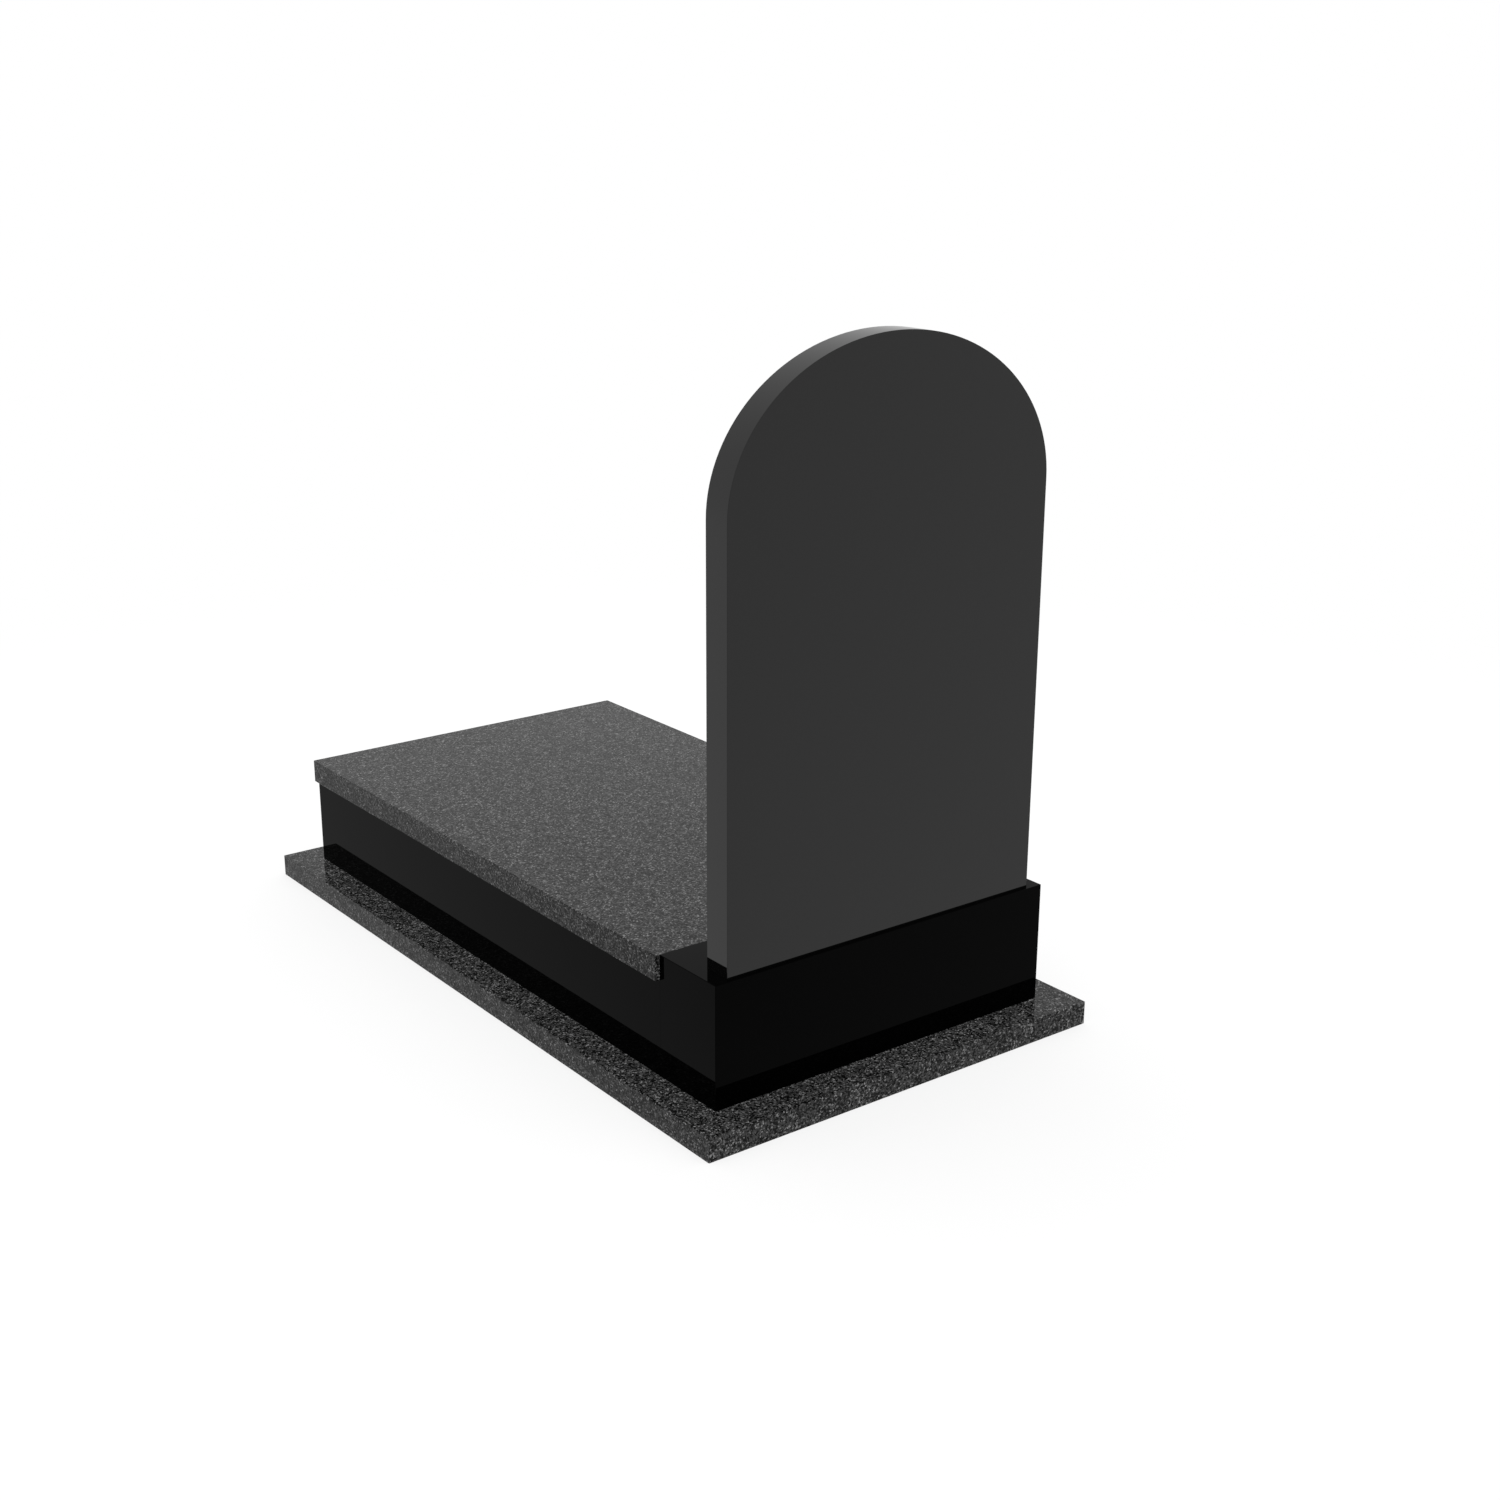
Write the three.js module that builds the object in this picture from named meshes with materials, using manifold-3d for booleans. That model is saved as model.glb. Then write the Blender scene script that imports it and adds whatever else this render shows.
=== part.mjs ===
// A single-grave monument in polished granite: a base slab on the ground, a frame of kerb stones
// closed by a ledger slab, and a plinth at the head end that carries a round-topped headstone.
// Millimetres. +Z is up, +Y runs from the foot end to the head end, and the origin is the centre
// of the base slab's underside. The headstone's front looks along -Y, over the ledger.

import * as THREE from "three";
import { mergeVertices } from "three/addons/utils/BufferGeometryUtils.js";
import Module from "manifold-3d";

// Driving dimensions

// Hairline joint between two stones that bed on or butt against each other
const JOINT = 0.3;
// Chamfer on every arris that shows
const ARRIS = 1.2;

const FRAME_WIDTH = 1000;
const FRAME_LENGTH = 1962;

const BASE_THICKNESS = 60;
const BASE_SIDE_LEDGE = 85;
const BASE_END_LEDGE = 91;

const KERB_HEIGHT = 243;
const KERB_THICKNESS = 80;

const LEDGER_THICKNESS = 64;
const LEDGER_SIDE_OVERHANG = 12;
const LEDGER_FOOT_OVERHANG = 0;

const PLINTH_DEPTH = 214;

const HEADSTONE_WIDTH = 920;
const HEADSTONE_HEIGHT = 1385;
const HEADSTONE_THICKNESS = 76;
const HEADSTONE_ARCH_RISE = 367;
const HEADSTONE_BACK_SET_IN = 10;
const ARCH_SEGMENTS = 64;

// Levels and places that follow from the driving dimensions

const kerbFoot = -FRAME_LENGTH / 2;
const plinthBack = FRAME_LENGTH / 2;
const plinthFront = plinthBack - PLINTH_DEPTH;
const kerbBed = BASE_THICKNESS + JOINT;
const ledgerBed = kerbBed + KERB_HEIGHT + JOINT;
const ledgerTop = ledgerBed + LEDGER_THICKNESS;
const headstoneBed = ledgerTop + JOINT;
const headstoneBack = plinthBack - HEADSTONE_BACK_SET_IN;

const speckledGranite = { color: 0x45464a, roughness: 0.12, metalness: 0 };
const blackGranite = { color: 0x0b0b0c, roughness: 0.05, metalness: 0 };
const darkGranite = { color: 0x303032, roughness: 0.1, metalness: 0 };

const wasm = await Module();
wasm.setup();

// Closed triangle geometry to a solid that can be cut
function solidFrom(geometry) {
  const plain = geometry.clone();
  plain.deleteAttribute("normal");
  plain.deleteAttribute("uv");
  const merged = mergeVertices(plain, 1e-4);
  return new wasm.Manifold(new wasm.Mesh({
    numProp: 3,
    vertProperties: new Float32Array(merged.attributes.position.array),
    triVerts: new Uint32Array(merged.index.array),
  }));
}

// Solid back to a geometry with flat facets
function geometryFrom(solid) {
  const mesh = solid.getMesh();
  const geometry = new THREE.BufferGeometry();
  geometry.setAttribute("position", new THREE.BufferAttribute(mesh.vertProperties, 3));
  geometry.setIndex(new THREE.BufferAttribute(mesh.triVerts, 1));
  const faceted = geometry.toNonIndexed();
  faceted.computeVertexNormals();
  return faceted;
}

function boxBetween(low, high) {
  const size = high.clone().sub(low);
  const centre = low.clone().add(high).multiplyScalar(0.5);
  return new THREE.BoxGeometry(size.x, size.y, size.z).translate(centre.x, centre.y, centre.z);
}

// Upright prism on an outline in XY, with all its arrises chamfered
function chamferedPrism(outline, height, curveSegments) {
  const geometry = new THREE.ExtrudeGeometry(outline, {
    depth: height - 2 * ARRIS,
    bevelEnabled: true,
    bevelThickness: ARRIS,
    bevelSize: ARRIS,
    bevelOffset: -ARRIS,
    bevelSegments: 1,
    curveSegments,
  });
  return geometry.translate(0, 0, ARRIS);
}

// Rectangle centred on the origin, with its corners cut by the arris
function chamferedRectangle(width, length) {
  const x = width / 2;
  const y = length / 2;
  const corners = [
    [x - ARRIS, -y], [x, -y + ARRIS], [x, y - ARRIS], [x - ARRIS, y],
    [-x + ARRIS, y], [-x, y - ARRIS], [-x, -y + ARRIS], [-x + ARRIS, -y],
  ];
  return new THREE.Shape(corners.map(([u, v]) => new THREE.Vector2(u, v)));
}

// Rectangular stone between two corners. The faces named in sawn are bed or butt faces: their
// arrises stay sharp, and the others are chamfered.
function dressedBlock(low, high, sawn) {
  const from = new THREE.Vector3(...low);
  const to = new THREE.Vector3(...high);
  const roughFrom = from.clone();
  const roughTo = to.clone();
  for (const face of sawn) {
    const rough = face[0] === "-" ? roughFrom : roughTo;
    rough[face[1]] += face[0] === "-" ? -2 * ARRIS : 2 * ARRIS;
  }
  const size = roughTo.clone().sub(roughFrom);
  const centre = roughFrom.clone().add(roughTo).multiplyScalar(0.5);
  const prism = chamferedPrism(chamferedRectangle(size.x, size.y), size.z, 1);
  prism.translate(centre.x, centre.y, roughFrom.z);
  return geometryFrom(solidFrom(prism).intersect(solidFrom(boxBetween(from, to))));
}

function stone(name, look, geometry) {
  const mesh = new THREE.Mesh(geometry, new THREE.MeshStandardMaterial(look));
  mesh.name = name;
  return mesh;
}

// One slab under the whole frame, with a ledge left all round it
function baseSlab() {
  const halfWidth = FRAME_WIDTH / 2 + BASE_SIDE_LEDGE;
  const halfLength = FRAME_LENGTH / 2 + BASE_END_LEDGE;
  const block = dressedBlock(
    [-halfWidth, -halfLength, 0],
    [halfWidth, halfLength, BASE_THICKNESS],
    ["-z"],
  );
  return stone("base_slab", speckledGranite, block);
}

// Side kerb from the foot end to the plinth: side is -1 or +1 along X
function sideKerb(name, side) {
  const outer = side * FRAME_WIDTH / 2;
  const inner = side * (FRAME_WIDTH / 2 - KERB_THICKNESS);
  const block = dressedBlock(
    [Math.min(outer, inner), kerbFoot, kerbBed],
    [Math.max(outer, inner), plinthFront - JOINT, kerbBed + KERB_HEIGHT],
    ["-z", "+z", "+y", side > 0 ? "-x" : "+x"],
  );
  return stone(name, blackGranite, block);
}

// Kerb across the foot end, between the two side kerbs
function footKerb() {
  const halfWidth = FRAME_WIDTH / 2 - KERB_THICKNESS - JOINT;
  const block = dressedBlock(
    [-halfWidth, kerbFoot, kerbBed],
    [halfWidth, kerbFoot + KERB_THICKNESS, kerbBed + KERB_HEIGHT],
    ["-z", "+z", "-y", "+y", "-x", "+x"],
  );
  return stone("kerb_foot", blackGranite, block);
}

// Block across the head end, as wide as the frame and level with the ledger's top
function plinth() {
  const block = dressedBlock(
    [-FRAME_WIDTH / 2, plinthFront, kerbBed],
    [FRAME_WIDTH / 2, plinthBack, ledgerTop],
    ["-z", "-y"],
  );
  return stone("plinth", blackGranite, block);
}

// Slab that closes the frame from the foot end to the plinth
function ledger() {
  const halfWidth = FRAME_WIDTH / 2 + LEDGER_SIDE_OVERHANG;
  const block = dressedBlock(
    [-halfWidth, kerbFoot - LEDGER_FOOT_OVERHANG, ledgerBed],
    [halfWidth, plinthFront - JOINT, ledgerTop],
    ["+y"],
  );
  return stone("ledger", speckledGranite, block);
}

// Upright tablet with straight sides and a half-ellipse top, sawn flat where it stands
function headstone() {
  const halfWidth = HEADSTONE_WIDTH / 2;
  const springing = HEADSTONE_HEIGHT - HEADSTONE_ARCH_RISE;
  const roughFoot = -2 * ARRIS;
  const outline = new THREE.Shape();
  outline.moveTo(-halfWidth, roughFoot);
  outline.lineTo(halfWidth, roughFoot);
  outline.lineTo(halfWidth, springing);
  outline.absellipse(0, springing, halfWidth, HEADSTONE_ARCH_RISE, 0, Math.PI, false, 0);
  const slab = chamferedPrism(outline, HEADSTONE_THICKNESS, ARCH_SEGMENTS);
  slab.rotateX(Math.PI / 2);
  const reach = new THREE.Vector3(HEADSTONE_WIDTH, HEADSTONE_THICKNESS, HEADSTONE_HEIGHT);
  const aboveFoot = boxBetween(
    new THREE.Vector3(-reach.x, -2 * reach.y, 0),
    new THREE.Vector3(reach.x, reach.y, 2 * reach.z),
  );
  const geometry = geometryFrom(solidFrom(slab).intersect(solidFrom(aboveFoot)));
  const mesh = stone("headstone", darkGranite, geometry);
  mesh.position.set(0, headstoneBack, headstoneBed);
  return mesh;
}

const monument = new THREE.Group();
monument.add(
  baseSlab(),
  sideKerb("kerb_left", -1),
  sideKerb("kerb_right", 1),
  footKerb(),
  plinth(),
  ledger(),
  headstone(),
);

export default monument;
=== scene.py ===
"""Looks of a single-grave monument in polished granite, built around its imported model.

The photograph shows it from behind and from one side, against white. Metres, in the model's own
frame: +Z up, +Y towards the headstone's end, origin under the middle of the base slab.
"""

import math

import bmesh
import bpy
from mathutils import Matrix, Vector


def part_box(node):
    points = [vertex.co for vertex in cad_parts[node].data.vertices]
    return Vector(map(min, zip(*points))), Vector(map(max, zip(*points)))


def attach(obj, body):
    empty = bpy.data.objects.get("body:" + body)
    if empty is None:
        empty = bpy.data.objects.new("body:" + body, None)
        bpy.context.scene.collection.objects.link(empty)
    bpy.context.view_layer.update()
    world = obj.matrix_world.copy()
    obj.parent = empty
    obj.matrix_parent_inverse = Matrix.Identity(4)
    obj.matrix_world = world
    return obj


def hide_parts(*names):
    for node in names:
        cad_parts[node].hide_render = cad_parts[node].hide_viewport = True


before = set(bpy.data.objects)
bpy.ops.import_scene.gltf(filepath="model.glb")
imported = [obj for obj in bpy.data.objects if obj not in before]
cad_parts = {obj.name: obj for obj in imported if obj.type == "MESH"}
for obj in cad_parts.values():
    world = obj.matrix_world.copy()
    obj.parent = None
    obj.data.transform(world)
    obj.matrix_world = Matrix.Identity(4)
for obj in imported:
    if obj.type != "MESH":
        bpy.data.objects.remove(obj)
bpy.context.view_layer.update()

# Camera, solved from the photograph's straight edges

PHOTO_SIZE = 1500
PHOTO_FOCAL_PX = 2038.8
SENSOR_MM = 36
CAMERA_PLACE = Vector((2.9168, 4.2763, 2.2523))
CAMERA_YAW = math.radians(232.704)
CAMERA_PITCH = math.radians(-18.144)
CAMERA_ROLL = math.radians(0.204)


def make_camera():
    along = Vector((
        math.cos(CAMERA_YAW) * math.cos(CAMERA_PITCH),
        math.sin(CAMERA_YAW) * math.cos(CAMERA_PITCH),
        math.sin(CAMERA_PITCH),
    ))
    level = along.cross(Vector((0, 0, 1))).normalized()
    upward = level.cross(along)
    right = math.cos(CAMERA_ROLL) * level + math.sin(CAMERA_ROLL) * upward
    up = math.cos(CAMERA_ROLL) * upward - math.sin(CAMERA_ROLL) * level
    data = bpy.data.cameras.new("camera")
    data.sensor_width = SENSOR_MM
    data.lens = SENSOR_MM * PHOTO_FOCAL_PX / PHOTO_SIZE
    camera = bpy.data.objects.new("camera", data)
    turn = Matrix((right, up, -along)).transposed().to_4x4()
    camera.matrix_world = Matrix.Translation(CAMERA_PLACE) @ turn
    bpy.context.collection.objects.link(camera)
    bpy.context.scene.camera = camera


# Shader helpers

def blank_material(name):
    material = bpy.data.materials.new(name)
    material.use_nodes = True
    tree = material.node_tree
    tree.nodes.clear()
    return material, tree, tree.nodes.new("ShaderNodeOutputMaterial")


def stone_material(name):
    material, tree, output = blank_material(name)
    shader = tree.nodes.new("ShaderNodeBsdfPrincipled")
    tree.links.new(shader.outputs["BSDF"], output.inputs["Surface"])
    return material, tree, shader


def feed(tree, socket, value):
    """Links a socket to another node's output, or sets it to a plain value."""
    if isinstance(value, bpy.types.NodeSocket):
        tree.links.new(value, socket)
    else:
        socket.default_value = value


def new_group(name, inputs, outputs):
    """Shader node group with named sockets. Inputs are (name, kind, default) and outputs (name, kind)."""
    tree = bpy.data.node_groups.new(name, "ShaderNodeTree")
    for label, kind, default in inputs:
        socket = tree.interface.new_socket(label, in_out="INPUT", socket_type="NodeSocket" + kind)
        socket.default_value = default
    for label, kind in outputs:
        tree.interface.new_socket(label, in_out="OUTPUT", socket_type="NodeSocket" + kind)
    return tree, tree.nodes.new("NodeGroupInput"), tree.nodes.new("NodeGroupOutput")


def place_group(tree, group, **values):
    node = tree.nodes.new("ShaderNodeGroup")
    node.node_tree = group
    for label, value in values.items():
        feed(tree, node.inputs[label], value)
    return node


def math_node(tree, operation, first, second):
    node = tree.nodes.new("ShaderNodeMath")
    node.operation = operation
    feed(tree, node.inputs[0], first)
    feed(tree, node.inputs[1], second)
    return node.outputs[0]


def vector_node(tree, operation, vector, other):
    """Vector arithmetic. A number that scales the vector has a socket of its own."""
    node = tree.nodes.new("ShaderNodeVectorMath")
    node.operation = operation
    feed(tree, node.inputs[0], vector)
    feed(tree, node.inputs["Scale" if operation == "SCALE" else 1], other)
    return node.outputs["Vector"]


def noise_node(tree, vector, scale, detail):
    node = tree.nodes.new("ShaderNodeTexNoise")
    feed(tree, node.inputs["Vector"], vector)
    feed(tree, node.inputs["Scale"], scale)
    feed(tree, node.inputs["Detail"], detail)
    return node


def spread(tree, value, low, high, out_low=0.0, out_high=1.0, smooth=False):
    """Maps low..high of value to out_low..out_high, held at both ends."""
    node = tree.nodes.new("ShaderNodeMapRange")
    node.interpolation_type = "SMOOTHSTEP" if smooth else "LINEAR"
    sockets = {"Value": value, "From Min": low, "From Max": high, "To Min": out_low, "To Max": out_high}
    for label, fed in sockets.items():
        feed(tree, node.inputs[label], fed)
    return node.outputs["Result"]


def mix_colour(tree, factor, first, second):
    node = tree.nodes.new("ShaderNodeMix")
    node.data_type = "RGBA"
    feed(tree, node.inputs["Factor"], factor)
    colours = [socket for socket in node.inputs if socket.type == "RGBA"]
    feed(tree, colours[0], first)
    feed(tree, colours[1], second)
    return [socket for socket in node.outputs if socket.type == "RGBA"][0]


def object_coordinates(tree):
    return tree.nodes.new("ShaderNodeTexCoord").outputs["Object"]


# Effects that the granites share

HAZE_PER_METRE = 3.5
WAVES_PER_METRE = 9.0


def crystal_group():
    """Crystals of one size, in metres: each has an even value of its own, Shade, and Mask picks out a
    share of them."""
    tree, inside, out = new_group(
        "crystals",
        [("Vector", "Vector", (0, 0, 0)), ("Size", "Float", 0.004), ("Share", "Float", 0.2),
         ("Softness", "Float", 0.1)],
        [("Mask", "Float"), ("Shade", "Float")],
    )
    vector = inside.outputs["Vector"]
    size = inside.outputs["Size"]
    scale = math_node(tree, "DIVIDE", 1.0, size)
    wobble = noise_node(tree, vector, scale, detail=1.0)
    centred = vector_node(tree, "SUBTRACT", wobble.outputs["Color"], (0.5, 0.5, 0.5))
    shift = vector_node(tree, "SCALE", centred, size)
    cells = tree.nodes.new("ShaderNodeTexVoronoi")
    feed(tree, cells.inputs["Vector"], vector_node(tree, "ADD", vector, shift))
    feed(tree, cells.inputs["Scale"], scale)
    parts = tree.nodes.new("ShaderNodeSeparateColor")
    tree.links.new(cells.outputs["Color"], parts.inputs["Color"])
    low = math_node(tree, "SUBTRACT", 1.0, inside.outputs["Share"])
    high = math_node(tree, "ADD", low, inside.outputs["Softness"])
    tree.links.new(spread(tree, parts.outputs["Red"], low, high), out.inputs["Mask"])
    tree.links.new(parts.outputs["Green"], out.inputs["Shade"])
    return tree


def polish_group():
    """Roughness and height of a machine-polished face: an even gloss, faint haze and slow waviness."""
    tree, inside, out = new_group(
        "polish",
        [("Vector", "Vector", (0, 0, 0)), ("Roughness", "Float", 0.03), ("Haze", "Float", 0.03)],
        [("Roughness", "Float"), ("Height", "Float")],
    )
    vector = inside.outputs["Vector"]
    haze = noise_node(tree, vector, HAZE_PER_METRE, detail=3.0)
    added = math_node(tree, "MULTIPLY", haze.outputs["Fac"], inside.outputs["Haze"])
    rough = math_node(tree, "ADD", inside.outputs["Roughness"], added)
    wave = noise_node(tree, vector, WAVES_PER_METRE, detail=1.0)
    tree.links.new(rough, out.inputs["Roughness"])
    tree.links.new(wave.outputs["Fac"], out.inputs["Height"])
    return tree


CRYSTALS = crystal_group()
POLISH = polish_group()


def add_polish(tree, shader, place, roughness, haze, waviness):
    """waviness is the height of the slow waves, in metres."""
    polish = place_group(tree, POLISH, Vector=place, Roughness=roughness, Haze=haze)
    tree.links.new(polish.outputs["Roughness"], shader.inputs["Roughness"])
    bump = tree.nodes.new("ShaderNodeBump")
    bump.inputs["Distance"].default_value = waviness
    tree.links.new(polish.outputs["Height"], bump.inputs["Height"])
    tree.links.new(bump.outputs["Normal"], shader.inputs["Normal"])


# The three granites. Tones run from the darkest crystal to the palest, and each IOR is what the
# tones of faces seen at different angles ask for.

GROUND_TONES = (0.006, 0.038)
FELDSPAR_TONES = (0.052, 0.148)
MICA_TONE = 0.002
BLACK_TONES = (0.0001, 0.0009)
DARK_TONES = (0.0003, 0.0018)
PATCHES_PER_METRE = 30.0
PATCH_RANGE = (0.35, 0.65)


def grey(value):
    return (value, value, value, 1.0)


def toned(tree, value, tones):
    return mix_colour(tree, value, grey(tones[0]), grey(tones[1]))


def speckled_granite():
    """Dark grey granite with pale feldspar and black mica, polished. From patch to patch, one or the
    other is a little more common."""
    material, tree, shader = stone_material("speckled_granite")
    place = object_coordinates(tree)
    patches = noise_node(tree, place, PATCHES_PER_METRE, detail=3.0).outputs["Fac"]
    pale_share = spread(tree, patches, *PATCH_RANGE, out_low=0.19, out_high=0.29)
    dark_share = spread(tree, patches, *PATCH_RANGE, out_low=0.47, out_high=0.37)
    ground = place_group(tree, CRYSTALS, Vector=place, Size=0.0031, Share=0.5, Softness=0.5)
    feldspar = place_group(tree, CRYSTALS, Vector=place, Size=0.0037, Share=pale_share, Softness=0.1)
    mica = place_group(tree, CRYSTALS, Vector=place, Size=0.0042, Share=dark_share, Softness=0.1)
    matrix = toned(tree, ground.outputs["Shade"], GROUND_TONES)
    pale = toned(tree, feldspar.outputs["Shade"], FELDSPAR_TONES)
    with_feldspar = mix_colour(tree, feldspar.outputs["Mask"], matrix, pale)
    colour = mix_colour(tree, mica.outputs["Mask"], with_feldspar, grey(MICA_TONE))
    tree.links.new(colour, shader.inputs["Base Color"])
    add_polish(tree, shader, place, roughness=0.03, haze=0.03, waviness=0.0001)
    shader.inputs["IOR"].default_value = 1.21
    return material


def black_granite():
    """Fine, nearly black granite with a mirror polish."""
    material, tree, shader = stone_material("black_granite")
    place = object_coordinates(tree)
    flecks = place_group(tree, CRYSTALS, Vector=place, Size=0.0016, Share=0.12, Softness=0.2)
    tree.links.new(toned(tree, flecks.outputs["Mask"], BLACK_TONES), shader.inputs["Base Color"])
    add_polish(tree, shader, place, roughness=0.02, haze=0.02, waviness=0.0001)
    shader.inputs["IOR"].default_value = 1.1
    return material


def dark_granite():
    """Even, fine black granite, polished so that it mirrors the studio as a dark grey."""
    material, tree, shader = stone_material("dark_granite")
    place = object_coordinates(tree)
    grain = place_group(tree, CRYSTALS, Vector=place, Size=0.0014, Share=0.5, Softness=0.8)
    tree.links.new(toned(tree, grain.outputs["Mask"], DARK_TONES), shader.inputs["Base Color"])
    add_polish(tree, shader, place, roughness=0.02, haze=0.02, waviness=0.0001)
    shader.inputs["IOR"].default_value = 1.5
    return material


# Stones

ARRIS_RADIUS = 0.0012
ARRIS_SEGMENTS = 3
HARD_ANGLE = math.radians(60)
CLOSE = 1e-6


def finish_stone(name, maker, node, material):
    """Puts a stone's mesh in the scene in place of its CAD node."""
    mesh = bpy.data.meshes.new(name)
    maker.to_mesh(mesh)
    maker.free()
    mesh.materials.append(material)
    stone = bpy.data.objects.new(name, mesh)
    bpy.context.collection.objects.link(stone)
    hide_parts(node)
    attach(stone, "root")


def round_arrises(maker, edges):
    """Rounds edges, and keeps the shading of the broad faces beside them flat to the rounding's rim."""
    made = bmesh.ops.bevel(
        maker, geom=edges, offset=ARRIS_RADIUS, offset_type="OFFSET", affect="EDGES",
        segments=ARRIS_SEGMENTS, profile=0.5, material=-1,
    )
    rounded = set(made["faces"])
    for face in maker.faces:
        face.smooth = True
    for edge in maker.edges:
        edge.smooth = len(rounded.intersection(edge.link_faces)) != 1


def part_broad_faces(maker):
    """Edges at a clear angle, such as round a sawn bed face, stay hard in the shading."""
    for edge in maker.edges:
        if edge.calc_face_angle(0.0) > HARD_ANGLE:
            edge.smooth = False


def lies_in(edge, axis, level):
    """Whether an edge lies in the plane at a level of x, y or z."""
    return all(abs(getattr(v.co, axis) - level) < CLOSE for v in edge.verts)


def block_stone(node, sawn, material):
    """Rectangular stone as large as its CAD node. sawn names the bed and butt faces, whose arrises stay
    sharp, as in "-z"."""
    low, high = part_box(node)
    maker = bmesh.new()
    bmesh.ops.create_cube(maker, size=1.0)
    bmesh.ops.scale(maker, vec=high - low, verts=maker.verts)
    bmesh.ops.translate(maker, vec=(low + high) / 2, verts=maker.verts)
    planes = [(axis, getattr(low if side == "-" else high, axis)) for side, axis in sawn]
    shown = [e for e in maker.edges if not any(lies_in(e, *plane) for plane in planes)]
    round_arrises(maker, shown)
    part_broad_faces(maker)
    finish_stone(node + "_stone", maker, node, material)


# Headstone outline: straight sides and a half-ellipse top

ARCH_RISE = 0.367
ARCH_STEPS = 128


def headstone_stone(material):
    low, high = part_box("headstone")
    centre_x = (low.x + high.x) / 2
    half_width = (high.x - low.x) / 2
    springing = high.z - ARCH_RISE
    maker = bmesh.new()
    bmesh.ops.create_circle(maker, cap_ends=False, radius=1.0, segments=ARCH_STEPS)
    lower_half = [v for v in maker.verts if v.co.y < -CLOSE]
    bmesh.ops.delete(maker, geom=lower_half, context="VERTS")
    for v in maker.verts:
        v.co = Vector((centre_x + half_width * v.co.x, high.y, springing + ARCH_RISE * v.co.y))
    ends = sorted((v for v in maker.verts if len(v.link_edges) == 1), key=lambda v: v.co.x)
    feet = [maker.verts.new((v.co.x, high.y, low.z)) for v in ends]
    for end, foot in zip(ends, feet):
        maker.edges.new((end, foot))
    maker.edges.new(feet)
    bmesh.ops.contextual_create(maker, geom=maker.edges)
    back = maker.faces[:]
    grown = bmesh.ops.extrude_face_region(maker, geom=back)
    front = [v for v in grown["geom"] if isinstance(v, bmesh.types.BMVert)]
    bmesh.ops.translate(maker, vec=(0, low.y - high.y, 0), verts=front)
    bmesh.ops.recalc_face_normals(maker, faces=maker.faces)
    rims = [e for e in maker.edges if lies_in(e, "y", low.y) or lies_in(e, "y", high.y)]
    round_arrises(maker, [e for e in rims if not lies_in(e, "z", low.z)])
    part_broad_faces(maker)
    finish_stone("headstone_stone", maker, "headstone", material)


# Studio

WHITE = grey(1.0)
FLOOR_HALF = 60.0
SURROUND = 0.70
FLOOR_PAINT = 0.45
FLOOR_GLOW = 0.23
FLOOR_LIT_RADIUS = 1.7
FLOOR_WHITE_RADIUS = 4.5


def add_emission(tree, colour):
    node = tree.nodes.new("ShaderNodeEmission")
    node.inputs["Color"].default_value = colour
    return node.outputs[0]


def mix_shaders(tree, factor, first, second):
    node = tree.nodes.new("ShaderNodeMixShader")
    for socket, value in zip(node.inputs, (factor, first, second)):
        tree.links.new(value, socket)
    return node.outputs[0]


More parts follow.
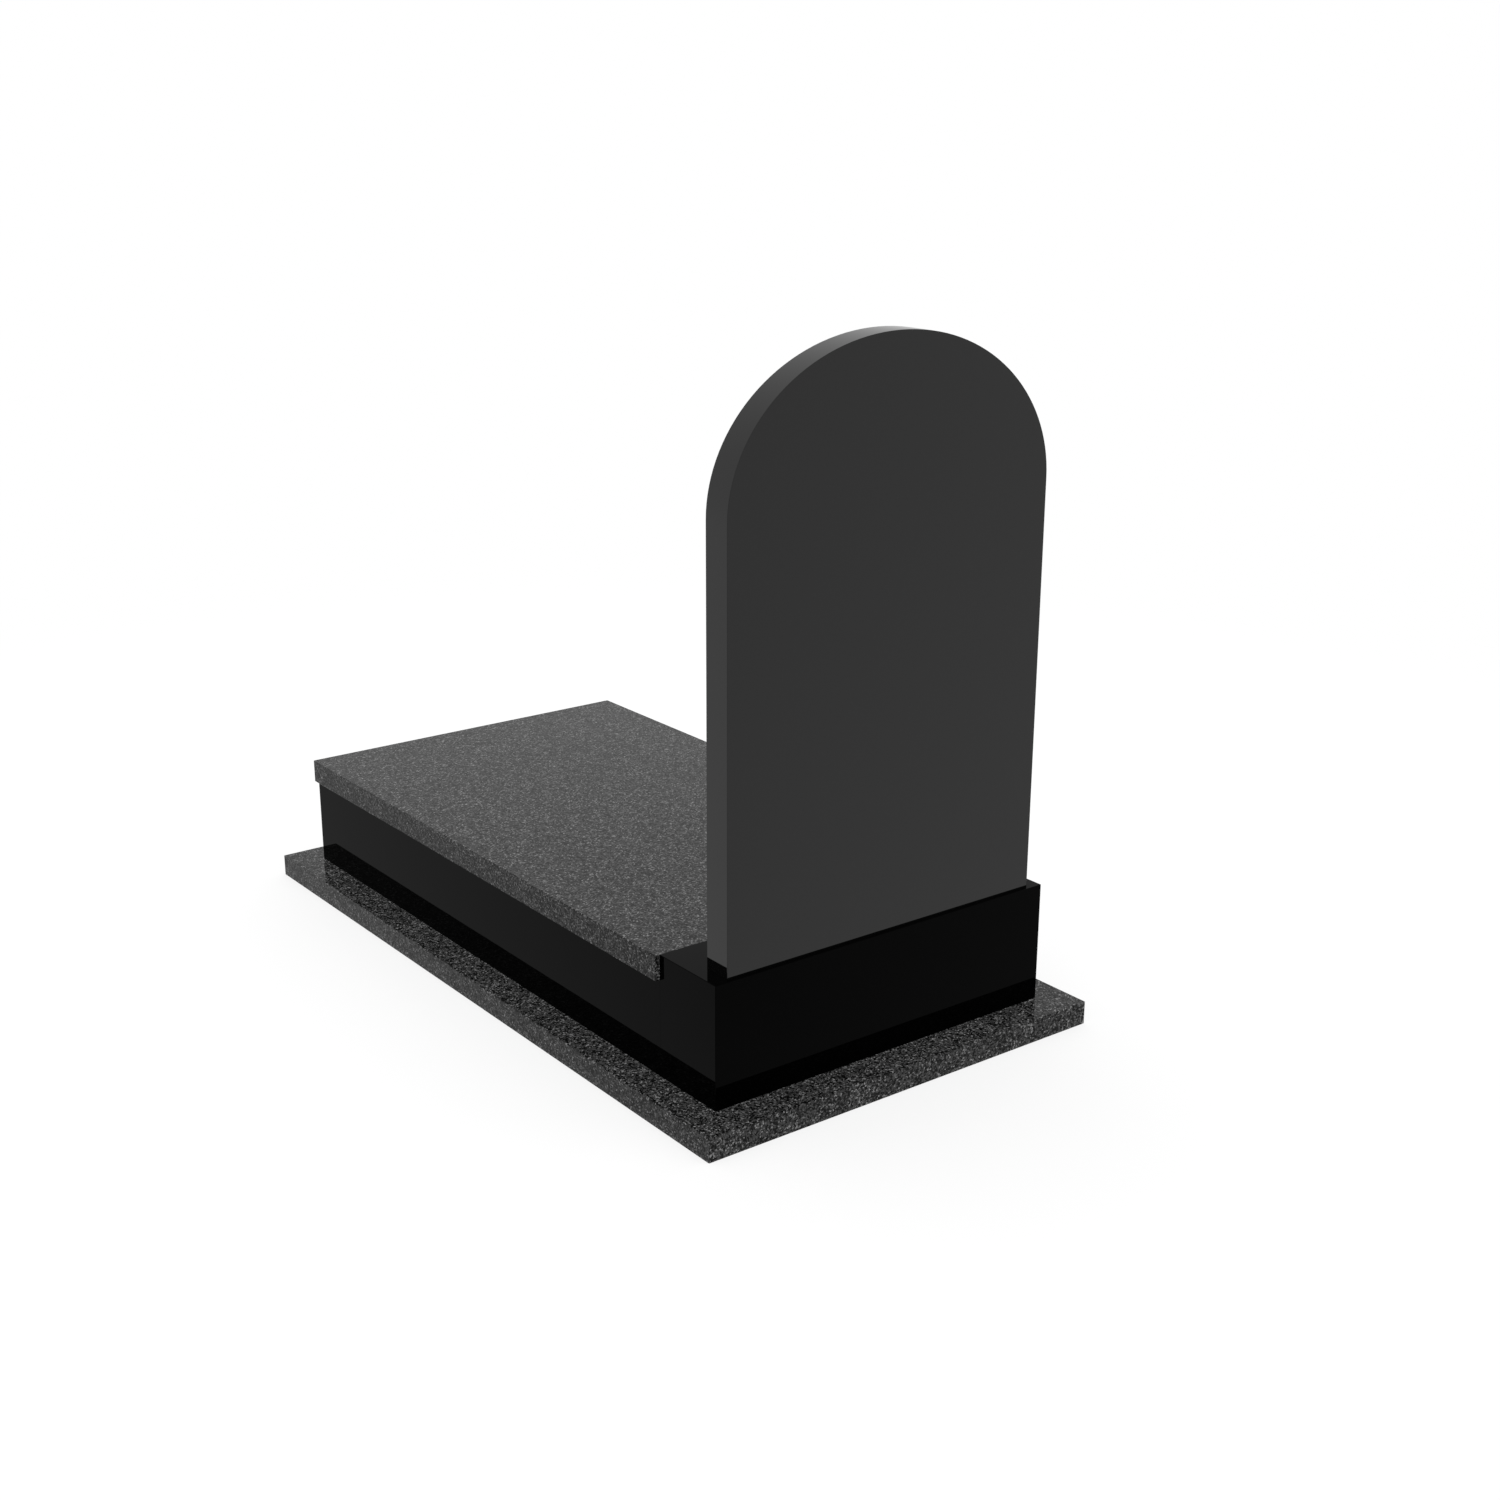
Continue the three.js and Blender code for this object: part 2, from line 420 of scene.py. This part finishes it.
def pale_floor():
    """Pale and softly shaded near the stones, running out into white. The polished faces mirror the
    even grey of the studio in it."""
    material, tree, output = blank_material("pale_floor")
    lit = tree.nodes.new("ShaderNodeBsdfDiffuse")
    lit.inputs["Color"].default_value = grey(FLOOR_PAINT)
    near = tree.nodes.new("ShaderNodeAddShader")
    tree.links.new(lit.outputs[0], near.inputs[0])
    tree.links.new(add_emission(tree, grey(FLOOR_GLOW)), near.inputs[1])
    reach = tree.nodes.new("ShaderNodeVectorMath")
    reach.operation = "LENGTH"
    tree.links.new(object_coordinates(tree), reach.inputs[0])
    far = spread(tree, reach.outputs["Value"], FLOOR_LIT_RADIUS, FLOOR_WHITE_RADIUS, smooth=True)
    seen = mix_shaders(tree, far, near.outputs[0], add_emission(tree, WHITE))
    ray = tree.nodes.new("ShaderNodeLightPath").outputs["Is Camera Ray"]
    chosen = mix_shaders(tree, ray, add_emission(tree, grey(SURROUND)), seen)
    tree.links.new(chosen, output.inputs["Surface"])
    return material


def make_floor():
    maker = bmesh.new()
    bmesh.ops.create_grid(maker, x_segments=1, y_segments=1, size=FLOOR_HALF)
    mesh = bpy.data.meshes.new("floor")
    maker.to_mesh(mesh)
    maker.free()
    mesh.materials.append(pale_floor())
    floor = bpy.data.objects.new("floor", mesh)
    bpy.context.collection.objects.link(floor)


def make_sky():
    """White where the camera looks past the stones, and the studio's even grey to the stones."""
    world = bpy.data.worlds.new("studio")
    world.use_nodes = True
    tree = world.node_tree
    ray = tree.nodes.new("ShaderNodeLightPath")
    colour = mix_colour(tree, ray.outputs["Is Camera Ray"], grey(SURROUND), WHITE)
    tree.links.new(colour, tree.nodes["Background"].inputs["Color"])
    bpy.context.scene.world = world


def add_fill(name, side, strength):
    """Broad even light from one side, which casts no shadow and isn't mirrored in the stones."""
    data = bpy.data.lights.new(name, "SUN")
    data.energy = strength
    data.use_shadow = False
    lamp = bpy.data.objects.new(name, data)
    lamp.rotation_euler = Vector(side).to_track_quat("Z", "Y").to_euler()
    lamp.visible_glossy = False
    bpy.context.collection.objects.link(lamp)


make_camera()
make_sky()
make_floor()
add_fill("camera_side_fill", side=(0.352, 0.617, 0.648), strength=4.04)
add_fill("front_fill", side=(-0.38, -0.83, 0.40), strength=1.9)

SPECKLED = speckled_granite()
BLACK = black_granite()
DARK = dark_granite()

block_stone("base_slab", ["-z"], SPECKLED)
block_stone("ledger", ["+y"], SPECKLED)
block_stone("kerb_left", ["-z", "+z", "+y", "+x"], BLACK)
block_stone("kerb_right", ["-z", "+z", "+y", "-x"], BLACK)
block_stone("kerb_foot", ["-z", "+z", "-y", "+y", "-x", "+x"], BLACK)
block_stone("plinth", ["-z", "-y"], BLACK)
headstone_stone(DARK)

bpy.context.scene.view_settings.view_transform = "Standard"
